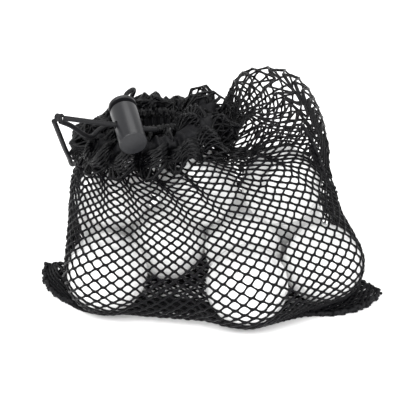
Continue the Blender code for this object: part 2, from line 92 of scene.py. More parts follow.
PLUNGER_R, PLUNGER_FOOT, CAP_R, CAP_T, CAP_GAP, PRESS_TRAVEL = 4.45, 9.0, 7.2, 2.0, 2.8, 2.4
SPRING_R, SPRING_WIRE_R, SPRING_TURNS = 3.4, 0.4, 4
LOCK_FOOT = LOCK_AT - AXIS_UP * CORD_HOLE_AT
CORD_REACH, KNOT_R = 36.7, 2.0
TIP = LOCK_AT + CORD_DIR * CORD_REACH


def world(points):
    return (np.asarray(points, float) - (FRAME_X, FRAME_Y, 0.0)) * MM


def lock_point(x, y, z):
    return LOCK_FOOT + CORD_DIR * x + ACROSS * y + AXIS_UP * z


# ---------------------------------------------------------------- camera and lights
def camera_and_lights():
    scene = bpy.context.scene
    e = math.radians(25.0)
    target = world((-2.0, 31.7, 45.0))
    distance = 0.620
    cam_data = bpy.data.cameras.new("camera")
    cam = bpy.data.objects.new("camera", cam_data)
    scene.collection.objects.link(cam)
    cam.location = (target[0], target[1] - distance * math.cos(e), target[2] + distance * math.sin(e))
    cam.rotation_euler = (math.pi / 2 - e, 0.0, 0.0)
    cam_data.sensor_width = 36.0
    cam_data.lens = 36.0 * 1.83 * 620.0 / 416.0
    cam_data.clip_start = 0.01
    scene.camera = cam
    scene.view_settings.view_transform = "Standard"
    scene.view_settings.look = "None"

    floor_mesh = bpy.data.meshes.new("floor")
    bm = bmesh.new()
    bmesh.ops.create_grid(bm, x_segments=4, y_segments=4, size=3.0)
    bm.to_mesh(floor_mesh)
    bm.free()
    floor = bpy.data.objects.new("floor", floor_mesh)
    scene.collection.objects.link(floor)
    floor.location = (0.0, 0.0, -0.0002)
    mat = bpy.data.materials.new("floor_paper")
    mat.use_nodes = True
    bsdf = mat.node_tree.nodes["Principled BSDF"]
    bsdf.inputs["Base Color"].default_value = (0.93, 0.93, 0.93, 1.0)
    bsdf.inputs["Roughness"].default_value = 0.9
    floor_mesh.materials.append(mat)

    world_ = bpy.data.worlds.new("studio")
    scene.world = world_
    world_.use_nodes = True
    world_.node_tree.nodes["Background"].inputs["Color"].default_value = (1.0, 1.0, 1.0, 1.0)
    world_.node_tree.nodes["Background"].inputs["Strength"].default_value = 1.0

    def area(name, at, aim, size, power):
        data = bpy.data.lights.new(name, "AREA")
        data.shape = "DISK"
        data.size = size
        data.energy = power
        obj = bpy.data.objects.new(name, data)
        obj.location = at
        obj.rotation_euler = (Vector(aim) - Vector(at)).to_track_quat("-Z", "Y").to_euler()
        scene.collection.objects.link(obj)

    area("key_light", (-0.50, -0.75, 0.85), (0.0, 0.0, 0.04), 0.60, 12.0)
    area("front_light", (0.05, -1.10, 0.24), (0.0, 0.0, 0.04), 0.80, 15.0)
    area("fill_light", (0.85, -0.45, 0.55), (0.0, 0.0, 0.05), 0.80, 5.0)
    area("top_light", (0.05, 0.35, 1.1), (0.0, 0.0, 0.05), 0.80, 5.0)


camera_and_lights()


# ---------------------------------------------------------------- materials
def node_mat(name, colour, rough, bump=0.2, scale=900.0, variation=0.25, sheen=0.0, coat=0.0, spec=0.5, detail="noise"):
    """Principled material with fine procedural colour, roughness and bump."""
    mat = bpy.data.materials.new(name)
    mat.use_nodes = True
    nt = mat.node_tree
    bsdf = nt.nodes["Principled BSDF"]
    bsdf.inputs["Sheen Weight"].default_value = sheen
    bsdf.inputs["Sheen Roughness"].default_value = 0.4
    bsdf.inputs["Coat Weight"].default_value = coat
    bsdf.inputs["Coat Roughness"].default_value = 0.12
    bsdf.inputs["Specular IOR Level"].default_value = spec
    coord = nt.nodes.new("ShaderNodeTexCoord")
    noise = nt.nodes.new("ShaderNodeTexNoise")
    noise.inputs["Scale"].default_value = scale
    noise.inputs["Detail"].default_value = 4.0
    nt.links.new(coord.outputs["Object"], noise.inputs["Vector"])
    ramp = nt.nodes.new("ShaderNodeValToRGB")
    lo = tuple(c * (1 - variation) for c in colour)
    hi = tuple(min(1.0, c * (1 + variation)) for c in colour)
    ramp.color_ramp.elements[0].position, ramp.color_ramp.elements[1].position = 0.3, 0.7
    ramp.color_ramp.elements[0].color = (*lo, 1.0)
    ramp.color_ramp.elements[1].color = (*hi, 1.0)
    nt.links.new(noise.outputs["Fac"], ramp.inputs["Fac"])
    nt.links.new(ramp.outputs["Color"], bsdf.inputs["Base Color"])
    rr = nt.nodes.new("ShaderNodeMapRange")
    rr.inputs["To Min"].default_value = max(0.02, rough - 0.08)
    rr.inputs["To Max"].default_value = min(1.0, rough + 0.08)
    nt.links.new(noise.outputs["Fac"], rr.inputs["Value"])
    nt.links.new(rr.outputs["Result"], bsdf.inputs["Roughness"])
    bmp = nt.nodes.new("ShaderNodeBump")
    bmp.inputs["Strength"].default_value = bump
    bmp.inputs["Distance"].default_value = 0.0003
    source = noise
    if detail == "fibre":
        wave = nt.nodes.new("ShaderNodeTexWave")
        wave.wave_type = "BANDS"
        wave.bands_direction = "DIAGONAL"
        wave.inputs["Scale"].default_value = scale * 0.9
        wave.inputs["Distortion"].default_value = 3.0
        wave.inputs["Detail"].default_value = 2.0
        nt.links.new(coord.outputs["Object"], wave.inputs["Vector"])
        source = wave
    nt.links.new(source.outputs["Fac"], bmp.inputs["Height"])
    nt.links.new(bmp.outputs["Normal"], bsdf.inputs["Normal"])
    return mat


MAT_NET = node_mat("net_yarn", (0.0022, 0.0022, 0.0028), 0.38, bump=0.35, scale=1500.0, variation=0.3, sheen=0.0, spec=0.08, detail="fibre")
# yarn_painted_shade is the same yarn as net_yarn with a darker base colour: painted shade for the upper rows of the net
# and the casing; its lower roughness and higher specular level make it glossier
MAT_SHADED_YARN = node_mat("yarn_painted_shade", (0.0008, 0.0008, 0.0012), 0.22, bump=0.45, scale=1500.0, variation=0.3, sheen=0.0, spec=0.17, detail="fibre")
MAT_CORD = node_mat("cord_braid", (0.0042, 0.0042, 0.005), 0.5, bump=0.4, scale=1800.0, variation=0.3, sheen=0.0, spec=0.18, detail="fibre")
MAT_SEAM = node_mat("seam_thread", (0.0040, 0.0040, 0.0048), 0.5, bump=0.4, scale=1700.0, variation=0.3, sheen=0.0, spec=0.12, detail="fibre")
MAT_LOCK = node_mat("lock_plastic", (0.0080, 0.0082, 0.0095), 0.34, bump=0.10, scale=650.0, variation=0.10, spec=0.30)
MAT_CAP = node_mat("cap_plastic", (0.006, 0.006, 0.007), 0.38, bump=0.10, scale=650.0, variation=0.12, spec=0.32)
MAT_BALL = node_mat("ball_cover", (0.90, 0.90, 0.895), 0.24, bump=0.03, scale=260.0, variation=0.012, coat=0.35, spec=0.5)
MAT_STEEL = node_mat("spring_steel", (0.55, 0.55, 0.57), 0.3, bump=0.1, scale=900.0, variation=0.08)
MAT_STEEL.node_tree.nodes["Principled BSDF"].inputs["Metallic"].default_value = 1.0


# ---------------------------------------------------------------- mesh helpers
def mesh_object(name, points, faces, mat, body="bag", smooth=True, in_world=False):
    pts = points if in_world else world(points)
    mesh = bpy.data.meshes.new(name)
    pts = np.asarray(pts, np.float32)
    faces = np.asarray(faces, np.int32)
    mesh.vertices.add(len(pts))
    mesh.vertices.foreach_set("co", pts.reshape(-1))
    n = faces.shape[1]
    mesh.loops.add(faces.size)
    mesh.loops.foreach_set("vertex_index", faces.reshape(-1))
    mesh.polygons.add(len(faces))
    mesh.polygons.foreach_set("loop_start", np.arange(0, faces.size, n, dtype=np.int32))
    mesh.polygons.foreach_set("loop_total", np.full(len(faces), n, np.int32))
    mesh.polygons.foreach_set("use_smooth", np.full(len(faces), smooth))
    mesh.update(calc_edges=True)
    mesh.validate()
    obj = bpy.data.objects.new(name, mesh)
    bpy.context.scene.collection.objects.link(obj)
    mesh.materials.append(mat)
    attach(obj, body)
    return obj


def frames_along(path):
    """Tangent and two normals along each of several paths at once, (m, n, 3)."""
    t = np.gradient(path, axis=1)
    t /= np.maximum(np.linalg.norm(t, axis=-1, keepdims=True), 1e-9)
    up = np.zeros_like(t)
    ref = np.where(np.abs(t[:, :1, 2:3]) > 0.8, np.array((1.0, 0.0, 0.0)), np.array((0.0, 0.0, 1.0)))
    u = ref - (ref * t[:, :1]).sum(-1, keepdims=True) * t[:, :1]
    u /= np.linalg.norm(u, axis=-1, keepdims=True)
    up[:, 0] = u[:, 0]
    for i in range(1, path.shape[1]):
        v = up[:, i - 1] - (up[:, i - 1] * t[:, i]).sum(-1, keepdims=True) * t[:, i]
        up[:, i] = v / np.maximum(np.linalg.norm(v, axis=-1, keepdims=True), 1e-9)
    return t, up, np.cross(t, up)


def tubes(paths, radius, sides, shape=None):
    """Quads of closed tubes along a list of paths of any lengths. radius may be a number or a list of arrays. shape(i, s, angle) scales it."""
    all_p, all_f, base = [], [], 0
    groups = {}
    for i, p in enumerate(paths):
        groups.setdefault(len(p), []).append(i)
    ang = 2 * np.pi * np.arange(sides) / sides
    for n, ids in groups.items():
        if n < 2:
            continue
        path = np.array([paths[i] for i in ids], float)
        t, u, v = frames_along(path)
        if np.isscalar(radius):
            r = np.full(path.shape[:2], radius)
        else:
            r = np.array([radius[i] for i in ids], float)
        run = np.concatenate([np.zeros((len(ids), 1)), np.cumsum(np.linalg.norm(np.diff(path, axis=1), axis=-1), axis=1)], axis=1)
        rr = r[..., None] * (shape(run[..., None], ang[None, None]) if shape else 1.0)
        rr = np.broadcast_to(rr, path.shape[:2] + (sides,))
        ring = path[:, :, None] + rr[..., None] * (u[:, :, None] * np.cos(ang)[None, None, :, None] + v[:, :, None] * np.sin(ang)[None, None, :, None])
        m = len(ids)
        idx = base + np.arange(m * n * sides).reshape(m, n, sides)
        nxt = np.roll(idx, -1, axis=2)
        quads = np.stack([idx[:, :-1], nxt[:, :-1], nxt[:, 1:], idx[:, 1:]], -1).reshape(-1, 4)
        all_p.append(ring.reshape(-1, 3))
        all_f.append(quads)
        base += m * n * sides
        # caps: centre point and a fan, as quads with a doubled point avoided by pairs of sides
        caps_p = np.concatenate([path[:, 0], path[:, -1]])
        c0 = base + np.arange(m)
        c1 = base + m + np.arange(m)
        half = np.arange(0, sides, 2)
        a = idx[:, 0][:, half]
        b = idx[:, 0][:, (half + 1) % sides]
        c = idx[:, 0][:, (half + 2) % sides]
        all_f.append(np.stack([np.broadcast_to(c0[:, None], a.shape), c, b, a], -1).reshape(-1, 4))
        a = idx[:, -1][:, half]
        b = idx[:, -1][:, (half + 1) % sides]
        c = idx[:, -1][:, (half + 2) % sides]
        all_f.append(np.stack([np.broadcast_to(c1[:, None], a.shape), a, b, c], -1).reshape(-1, 4))
        all_p.append(caps_p)
        base += 2 * m
    return np.concatenate(all_p), np.concatenate(all_f)


def catmull(points, per):
    """Smooth curve through points, (n, 3), with per steps a span."""
    p = np.asarray(points, float)
    e = np.vstack([2 * p[0] - p[1], p, 2 * p[-1] - p[-2]])
    t = (np.arange(per) / per)[:, None, None]
    a, b, c, d = e[None, :-3], e[None, 1:-2], e[None, 2:-1], e[None, 3:]
    q = 0.5 * (2 * b + (c - a) * t + (2 * a - 5 * b + 4 * c - d) * t**2 + (3 * b - a - 3 * c + d) * t**3)
    return np.vstack([q.transpose(1, 0, 2).reshape(-1, 3), p[-1:]])


def even(points, spacing=None, count=None):
    p = np.asarray(points, float)
    run = np.concatenate([[0], np.cumsum(np.linalg.norm(np.diff(p, axis=0), axis=1))])
    if count is None:
        count = max(2, int(round(run[-1] / spacing)) + 1)
    at = np.linspace(0, run[-1], count)
    return np.stack([np.interp(at, run, p[:, k]) for k in range(3)], -1)


def length_of(points):
    return float(np.linalg.norm(np.diff(points, axis=0), axis=1).sum())


# ---------------------------------------------------------------- golf balls
def golf_balls():
    bm = bmesh.new()
    bmesh.ops.create_icosphere(bm, subdivisions=6, radius=1.0)
    co = np.array([v.co[:] for v in bm.verts])
    faces = np.array([[v.index for v in f.verts] for f in bm.faces])
    bm.free()
    co /= np.linalg.norm(co, axis=1, keepdims=True)
    n = 336
    k = np.arange(n) + 0.5
    lat = np.arccos(1 - 2 * k / n)
    lon = math.pi * (1 + 5**0.5) * k
    dim = np.stack([np.cos(lon) * np.sin(lat), np.sin(lon) * np.sin(lat), np.cos(lat)], -1)
    best = (co @ dim.T).max(axis=1)
    ang = np.arccos(np.clip(best, -1, 1)) * BALL_R
    dr = 1.85
    depth = 0.20 * np.clip(1 - (ang / dr) ** 2, 0, 1) ** 0.8
    pts = co * (BALL_R - depth)[:, None]
    rng = np.random.default_rng(7)
    for name, at in BALLS.items():
        q = rng.normal(size=(3, 3))
        q, _ = np.linalg.qr(q)
        if np.linalg.det(q) < 0:
            q[:, 0] *= -1
        obj = mesh_object(name + "_cover", pts @ q.T + np.array(at), faces, MAT_BALL)
        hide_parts(name)


golf_balls()


# ---------------------------------------------------------------- cord and cord lock
def braid(run, ang):
    a = np.abs(np.sin(3 * ang + run * 2 * math.pi / 4.6))
    b = np.abs(np.sin(3 * ang - run * 2 * math.pi / 4.6))
    return 0.90 + 0.12 * np.maximum(a, b) ** 0.7


def cord_piece(name, route, mat=None):
    path = even(catmull(route, 40), spacing=0.45)
    pts, faces = tubes([path], CORD_R, 20, shape=braid)
    return mesh_object(name, pts, faces, mat or MAT_CORD), path


def cords():
    ring = [
        (MOUTH_X + HEM_RX * math.cos(a), MOUTH_Y + HEM_RY * math.sin(a), HEM_Z)
        for a in np.radians(np.linspace(-HEM_END_DEG, HEM_END_DEG, 19))
    ]
    out_strand = [tuple(TIP + (0.3, 2.2, -2.9)), (-70.5, 2.5, 104.0), (-65.8, 10.0, 96.8), (-62.3, 18.0, 92.2), (-59.0, 23.8, 93.6), (-53.5, 28.6, 94.8), (-48.5, 31.0, 93.8), (-45.0, 30.8, 92.2)]
    loop = [(-45.5, 53.2, 93.6), (-47.8, 55.8, 97.0), (-46.8, 60.8, 100.3), (-43.8, 66.6, 101.0), (-43.6, 72.8, 97.6), (-47.5, 78.5, 89.0), (-55.0, 81.5, 80.5), (-64.0, 80.0, 71.5), (-71.5, 72.5, 64.0), (-76.0, 60.0, 61.0), (-77.0, 47.0, 64.5), (-76.4, 31.0, 75.5), (-76.6, 18.0, 86.0), (-76.8, 5.0, 97.5), tuple(TIP + (-2.6, 0.4, -2.0))]
    main, main_path = cord_piece("drawcord_braid", out_strand + ring + loop)
    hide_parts("drawcord")
    pull_route = [(-28.6, 14.6, 97.4)] + [tuple(LOCK_AT + CORD_DIR * s) for s in (-9.5, 0.0, 9.0, 18.0, 26.5, CORD_REACH - KNOT_R - 0.4)]
    pull, pull_path = cord_piece("drawcord_pull_braid", pull_route)
    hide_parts("drawcord_pull")
    # The knot: a few wraps of the same cord around the meeting point.
    t = np.linspace(0, 1, 120)
    wraps = 2.6
    a = 2 * math.pi * wraps * t
    core = TIP + np.outer(1.15 * np.cos(a) * (0.75 + 0.25 * np.cos(3 * t * math.pi)), ACROSS) + np.outer(1.15 * np.sin(a), AXIS_UP) + np.outer((t - 0.5) * 2.6, CORD_DIR)
    pts, faces = tubes([core], 1.0, 14, shape=braid)
    knot = mesh_object("drawcord_knot_wraps", pts, faces, MAT_CORD)
    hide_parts("drawcord_knot")


def lathe(name, profile, sides, mat, body, slot):
    rings, pts, faces = [], [], []
    for r, h in profile:
        if r <= 1e-9:
            rings.append([len(pts)])
            pts.append(lock_point(0, 0, h))
        else:
            rings.append(list(range(len(pts), len(pts) + sides)))
            for j in range(sides):
                t = 2 * math.pi * (j + 0.5) / sides
                pts.append(lock_point(r * math.cos(t), r * math.sin(t), h))
    for one, two in zip(rings, rings[1:]):
        for j in range(sides):
            k = (j + 1) % sides
            if len(one) == 1:
                faces.append((one[0], two[j], two[k]))
            elif len(two) == 1:
                faces.append((one[j], one[k], two[0]))
            else:
                faces.append((one[j], one[k], two[k], two[j]))
    mesh = bpy.data.meshes.new(name)
    mesh.from_pydata([tuple(p) for p in world(pts)], [], faces)
    bm = bmesh.new()
    bm.from_mesh(mesh)
    bmesh.ops.recalc_face_normals(bm, faces=bm.faces)
    bm.to_mesh(mesh)
    bm.free()
    obj = bpy.data.objects.new(name, mesh)
    bpy.context.scene.collection.objects.link(obj)
    mesh.materials.append(mat)
    return obj


def fillet(r_out, h_a, h_b, rad_a, rad_b, steps=6):
    """Outer wall of a turned part from height a to height b with rounded edges."""
    prof = []
    for i in range(steps + 1):
        t = math.pi / 2 * i / steps
        prof.append((r_out - rad_a + rad_a * math.sin(t), h_a + rad_a - rad_a * math.cos(t)))
    for i in range(steps + 1):
        t = math.pi / 2 * i / steps
        prof.append((r_out - rad_b + rad_b * math.cos(t), h_b - rad_b + rad_b * math.sin(t)))
    return prof


def cut_hole(obj, half_len, radius, height, stretch=0.0):
    sides = 40
    pts, faces = [], []
    for x in (-half_len, half_len):
        for j in range(sides):
            t = 2 * math.pi * j / sides
            lift = stretch if math.sin(t) > 0 else 0.0
            pts.append(lock_point(x, radius * math.cos(t), height + radius * math.sin(t) + lift))
    for j in range(sides):
        k = (j + 1) % sides
        faces.append((j, k, sides + k, sides + j))
    faces.append(tuple(range(sides)))
    faces.append(tuple(range(sides, 2 * sides)))
    mesh = bpy.data.meshes.new("hole")
    mesh.from_pydata([tuple(p) for p in world(pts)], [], faces)
    bm = bmesh.new()
    bm.from_mesh(mesh)
    bmesh.ops.recalc_face_normals(bm, faces=bm.faces)
    bm.to_mesh(mesh)
    bm.free()
    cutter = bpy.data.objects.new("hole", mesh)
    bpy.context.scene.collection.objects.link(cutter)
    mod = obj.modifiers.new("hole", "BOOLEAN")
    mod.operation = "DIFFERENCE"
    mod.solver = "EXACT"
    mod.object = cutter
    bpy.context.view_layer.update()
    graph = bpy.context.evaluated_depsgraph_get()
    new = bpy.data.meshes.new_from_object(obj.evaluated_get(graph))
    old = obj.data
    obj.modifiers.clear()
    obj.data = new
    bpy.data.meshes.remove(old)
    bpy.data.objects.remove(cutter, do_unlink=True)


def smooth_by_angle(obj, degrees):
    mesh = obj.data
    mesh.polygons.foreach_set("use_smooth", np.full(len(mesh.polygons), True))
    mesh.set_sharp_from_angle(angle=math.radians(degrees))


def cord_lock():
    prof = [(0, 0)] + [(LOCK_R - 1.9, 0.0), (LOCK_R - 1.7, 0.05)] + fillet(LOCK_R, 0.05, LOCK_LEN, 0.45, 0.35)
    prof += [(LOCK_BORE_R + 0.25, LOCK_LEN), (LOCK_BORE_R, LOCK_LEN - 0.25), (LOCK_BORE_R, LOCK_FLOOR_T), (0, LOCK_FLOOR_T)]
    barrel = lathe("lock_barrel_shell", prof, 96, MAT_LOCK, "lock", "lock_barrel")
    cut_hole(barrel, 12.0, CORD_HOLE_R, CORD_HOLE_AT)
    smooth_by_angle(barrel, 35)
    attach(barrel, "lock")
    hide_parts("lock_barrel")
    low = LOCK_LEN + CAP_GAP
    prof = [(0, PLUNGER_FOOT), (PLUNGER_R - 0.3, PLUNGER_FOOT), (PLUNGER_R, PLUNGER_FOOT + 0.3), (PLUNGER_R, low)]
    prof += [(CAP_R - 0.6, low)] + fillet(CAP_R, low, low + CAP_T, 0.4, 0.7) + [(CAP_R - 2.0, low + CAP_T), (CAP_R - 2.4, low + CAP_T - 0.15), (0, low + CAP_T - 0.15)]
    plunger = lathe("lock_plunger_cap", prof, 96, MAT_CAP, "plunger", "lock_plunger")
    cut_hole(plunger, 8.0, CORD_HOLE_R - 0.2, CORD_HOLE_AT, stretch=PRESS_TRAVEL + 0.5)
    smooth_by_angle(plunger, 35)
    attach(plunger, "plunger")
    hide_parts("lock_plunger")
    # the spring: a coil between the barrel floor and the plunger foot, built at one length
    low, high = LOCK_FLOOR_T + SPRING_WIRE_R + 0.25, PLUNGER_FOOT - SPRING_WIRE_R - 0.25
    t = np.linspace(0, 1, 420)
    rise = low + (high - low) * t
    turn = 2 * math.pi * SPRING_TURNS * t
    coil_path = np.array([lock_point(SPRING_R * math.cos(a), SPRING_R * math.sin(a), z) for a, z in zip(turn, rise)])
    pts, faces = tubes([coil_path], SPRING_WIRE_R * 0.9, 12)
    coil = mesh_object("lock_spring_coil", pts, faces, MAT_STEEL, body="lock")
    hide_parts("lock_spring")
    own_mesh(coil)


cords()
cord_lock()


# ---------------------------------------------------------------- the net
# A warp-knitted hexagon net: short double bars joined by single diagonals.
COLS, ROWS = 120, 50
PITCH_X, PITCH_Y = 4.05, 5.5
BAR_HALF = 0.95
YARN_R = 0.60
CLING, CLING_SHARE = 9.0, 0.12
SETTLE = 120


def closeness(points):
    far = np.linalg.norm(points[..., None, :] - CENTRES, axis=-1) - BALL_R
    low = far.min(axis=-1)
    return low - CLING * np.log(np.exp(-(far - low[..., None]) / CLING).sum(axis=-1))


def envelope_directions():
    lat = np.radians(np.arange(-85.0, 86.0, 5.0))
    lon = np.radians(np.arange(0.0, 360.0, 5.0))
    la, lo = np.meshgrid(lat, lon, indexing="ij")
    side = np.stack([np.cos(la) * np.cos(lo), np.cos(la) * np.sin(lo), np.sin(la)], -1).reshape(-1, 3)
    return np.concatenate([side, [[0.0, 0.0, 1.0], [0.0, 0.0, -1.0]]])


DIRECTIONS = envelope_directions()


def gather_foot(a):
    return GATHER_FOOT + GATHER_TILT * np.cos(a)


_a = np.radians(np.arange(0.0, 360.0, 6.0))
RING_FOOT = np.stack([MOUTH_X + (GATHER_RX + 5.5) * np.cos(_a), MOUTH_Y + (GATHER_RY + 5.5) * np.sin(_a), gather_foot(_a) - 4.5], -1)
REACH = np.maximum((CENTRES @ DIRECTIONS.T).max(axis=0) + BALL_R, (RING_FOOT @ DIRECTIONS.T).max(axis=0))
# Lobes of the gathered roll: where, half width in degrees, and how full.
LOBES = ((-36.0, 26.0, 1.0), (-100.0, 36.0, 0.85), (102.0, 23.0, 0.85), (70.0, 14.0, 0.45), (28.0, 28.0, 1.0), (205.0, 30.0, 0.55), (158.0, 24.0, 0.35))


def lobe(alpha):
    d = np.degrees(alpha)
    full = 0.0
    for at, half, size in LOBES:
        x = np.abs((d - at + 180.0) % 360.0 - 180.0) / half
        full = np.maximum(full, np.where(x < 1, size * np.sqrt(np.clip(1 - x * x, 0, 1)), 0.0))
    return full


def wall_point(angle, z, gap=0.8):
    across = DIRECTIONS[:, 0] * math.cos(angle) + DIRECTIONS[:, 1] * math.sin(angle)
    rest = REACH + gap - DIRECTIONS @ np.array((AXIS_X, AXIS_Y, z))
    ahead = across > 0.03
    hull = float((rest[ahead] / across[ahead]).min())
    runs = np.linspace(hull, 4.0, 240)
    pts = np.stack([AXIS_X + runs * math.cos(angle), AXIS_Y + runs * math.sin(angle), np.full(len(runs), z)], -1)
    near = closeness(pts) < gap
    cling = runs[near.argmax()] if near.any() else hull
    r = max(hull * (1 - CLING_SHARE) + cling * CLING_SHARE, hull - 4.0)
    return np.array((AXIS_X + r * math.cos(angle), AXIS_Y + r * math.sin(angle), z))


def top_height(x, y, gap=0.8):
    up = DIRECTIONS[:, 2] > 0.03
    rest = REACH[up] + gap - DIRECTIONS[up, 0] * x - DIRECTIONS[up, 1] * y
    hull = float((rest / DIRECTIONS[up, 2]).min())
    runs = np.linspace(hull, 30.0, 200)
    near = closeness(np.stack([np.full(len(runs), x), np.full(len(runs), y), runs], -1)) < gap
    cling = runs[near.argmax()] if near.any() else hull
    return max(hull * (1 - CLING_SHARE) + cling * CLING_SHARE, hull - 2.5)


SEAM = even(catmull([(-96.0, 52.0, 0), (-94.5, 30.0, 0), (-86.0, 13.0, 0), (-75.0, 4.0, 0), (-63.0, 1.5, 0), (-54.0, 2.0, 0), (-44.0, 4.5, 0), (-33.0, 6.5, 0), (-20.0, 7.0, 0), (-8.0, 4.0, 0), (4.0, -4.0, 0), (13.0, -11.0, 0), (21.0, -13.5, 0), (30.0, -12.0, 0), (40.0, -9.0, 0), (52.0, -8.0, 0), (66.0, -8.0, 0), (79.0, -3.0, 0), (88.0, 6.0, 0), (95.0, 18.0, 0)], 20), count=400)


def seam_point(f):
    i = f * (len(SEAM) - 1)
    return np.array([np.interp(i, np.arange(len(SEAM)), SEAM[:, k]) for k in range(3)])


def bump(x, half):
    x = abs(x) / half
    return 0.0 if x >= 1 else (math.cos(math.pi * x) + 1) / 2


# Slack hood of netting that stands up on the right.
HOOD_X, HOOD_Y, HOOD_A, HOOD_B, HOOD_LEAN, HOOD_FULL = 37.5, 46.0, 30.5, 24.0, 8.5, 0.66
HOOD_LOW, HOOD_TOP = 60.0, 118.5
RISE = np.radians(np.linspace(90.0, 0.0, 140))


def hood_height(x, y):
    inside = ((x - HOOD_X + HOOD_LEAN * np.sin(RISE)) / HOOD_A) ** 2 + ((y - HOOD_Y) / HOOD_B) ** 2 - np.cos(RISE) ** (2 * HOOD_FULL)
    hit = np.nonzero(inside <= 0)[0]
    if len(hit) == 0:
        return HOOD_LOW - 12.0 * min(1.0, float(inside[-1]))
    k = hit[0]
    if k == 0:
        return HOOD_TOP
    t = inside[k - 1] / (inside[k - 1] - inside[k])
    e = RISE[k - 1] * (1 - t) + RISE[k] * t
    return HOOD_LOW + (HOOD_TOP - HOOD_LOW) * math.sin(e)


GRID_STEP = 3.0
GRID_X = np.arange(-90.0, 90.1, GRID_STEP)
GRID_Y = np.arange(-40.0, 105.1, GRID_STEP)
TOPS = np.array([[top_height(x, y) for y in GRID_Y] for x in GRID_X])


def tops(x, y):
    i = min(max((x - GRID_X[0]) / GRID_STEP, 0.0), len(GRID_X) - 1.001)
    j = min(max((y - GRID_Y[0]) / GRID_STEP, 0.0), len(GRID_Y) - 1.001)
    a, b = int(i), int(j)
    u, v = i - a, j - b
    low = TOPS[a, b] * (1 - u) * (1 - v) + TOPS[a + 1, b] * u * (1 - v) + TOPS[a, b + 1] * (1 - u) * v + TOPS[a + 1, b + 1] * u * v
    high = hood_height(x, y)
    d = (high - low) / 4.0
    return low if d < -8 else (high if d > 8 else low + 4.0 * math.log(1 + math.exp(d)))


def even_azimuths(count=241):
    """Wall azimuth against position around the bag, spaced evenly along the wall within each panel."""
    table = []
    for first in (math.pi, 2 * math.pi):
        az = np.linspace(first, first + math.pi, count)
        wall = np.array([wall_point(a, 30.0) for a in az])
        run = np.concatenate([[0], np.cumsum(np.linalg.norm(np.diff(wall, axis=0), axis=1))])
        table.append((run / run[-1], az, wall[:, 0]))
    return table


AZIMUTHS = even_azimuths()
_seam_share = np.linspace(0, 1, len(SEAM))


def station(u):
    """Path of one column of the net, from the sewn bottom edge to the casing, and its length on the body."""
    alpha = math.pi + 2 * math.pi * u
    front = u <= 0.5
    share_, az_, wall_x_ = AZIMUTHS[0 if front else 1]
    phi = float(np.interp((2 * u) % 1.0 if u not in (0.5, 1.0) else 1.0, share_, az_))
    f = 2 * u if front else 2 * (1 - u)
    # the sewn edge under a column lies straight below it, except towards the corners
    under = float(np.interp(float(np.interp(phi, az_, wall_x_)), SEAM[:, 0], _seam_share))
    mid = min(1.0, 3.0 * min(f, 1 - f))
    f = f * (1 - mid) + under * mid
    start = seam_point(f) + (0, 0, 0.9 if front else 0.7)
    pts = [start]
    foot = wall_point(phi, 4.0)
    side = max(bump(u, 0.09), bump(u - 0.5, 0.09), bump(u - 1.0, 0.09))
    gap_len = np.linalg.norm(foot[:2] - start[:2])
    steps = max(2, int(gap_len / 12))
    for k in range(1, steps):
        s = k / steps
        p = start * (1 - s) + foot * s
        lift = 0.9 if front else 0.6
        lift += side * 6.0 * math.sin(math.pi * s) * (1.0 if front else 0.8)
        pts.append(np.array((p[0], p[1], lift)))
    for z in (4.0, 8.0, 13.0, 19.0, 26.0, 34.0, 42.0, 50.0):
        pts.append(wall_point(phi, z))
    wall_end = pts[-1]
    lower = catmull(pts, 8)
    base = np.array((MOUTH_X + (GATHER_RX + 5.5) * math.cos(alpha), MOUTH_Y + (GATHER_RY + 5.5) * math.sin(alpha)))
    n = 90
    share = np.linspace(0, 1, n)
    plan = wall_end[None, :2] * (1 - share[:, None]) + base * share[:, None]
    z = np.array([tops(x, y) for x, y in plan])
    z = np.maximum(z, wall_end[2])
    over = even(np.column_stack([plan, z]), count=n)
    for _ in range(5):
        over[1:-1] = over[1:-1] * 0.5 + (over[:-2] + over[2:]) * 0.25
    over[:, 2] += 1.0 * share
    body = even(np.vstack([lower[:-1], over]), spacing=2.0)
    body_len = length_of(body)
    # gathered roll: outside, over the top and down to the casing, folded where there is slack
    slack = ROWS * PITCH_Y - body_len
    fold = min(1.0, max(0.0, (slack - 45.0) / 60.0))
    full = float(lobe(alpha))
    foot_z = float(gather_foot(alpha)) - 3.5
    tall = GATHER_H + GATHER_H_RIGHT * math.cos(alpha) + GATHER_H_BACK * math.sin(alpha) + 3.0
    high = tall * (0.72 + 0.38 * full)
    wide = 0.62 + 0.62 * full
    plain = np.array([(6.0, 0.0), (9.5, 0.30), (9.0, 0.70), (4.0, 0.98), (-3.0, 0.95), (-8.0, 0.66)])
    folded = np.array([(6.0, 0.02), (11.5, -0.08), (14.5, 0.22), (13.0, 0.62), (8.5, 0.84), (5.5, 0.52), (3.0, 0.30), (1.5, 0.66), (0.5, 0.95), (-3.0, 1.02), (-7.0, 0.86), (-9.0, 0.62)])
    m = 60
    a = even(catmull(np.column_stack([plain, np.zeros(len(plain))]) * (wide, high, 1), 12), count=m)
    b = even(catmull(np.column_stack([folded, np.zeros(len(folded))]) * (wide, high, 1), 12), count=m)
    prof = a * (1 - fold) + b * fold
    cx, cy = MOUTH_X + GATHER_RX * math.cos(alpha), MOUTH_Y + GATHER_RY * math.sin(alpha)
    out = np.array((math.cos(alpha) / GATHER_RX, math.sin(alpha) / GATHER_RY))
    out /= np.linalg.norm(out)
    ruffle = np.array([(cx + out[0] * r, cy + out[1] * r, foot_z + h) for r, h, _ in prof])
    ruffle += (body[-1] - ruffle[0]) * (np.linspace(1, 0, m) ** 3)[:, None]
    hem_xy = np.array((MOUTH_X + HEM_RX * math.cos(alpha), MOUTH_Y + HEM_RY * math.sin(alpha), HEM_Z))
    ruffle = np.vstack([ruffle, hem_xy])
    return body, ruffle, body_len


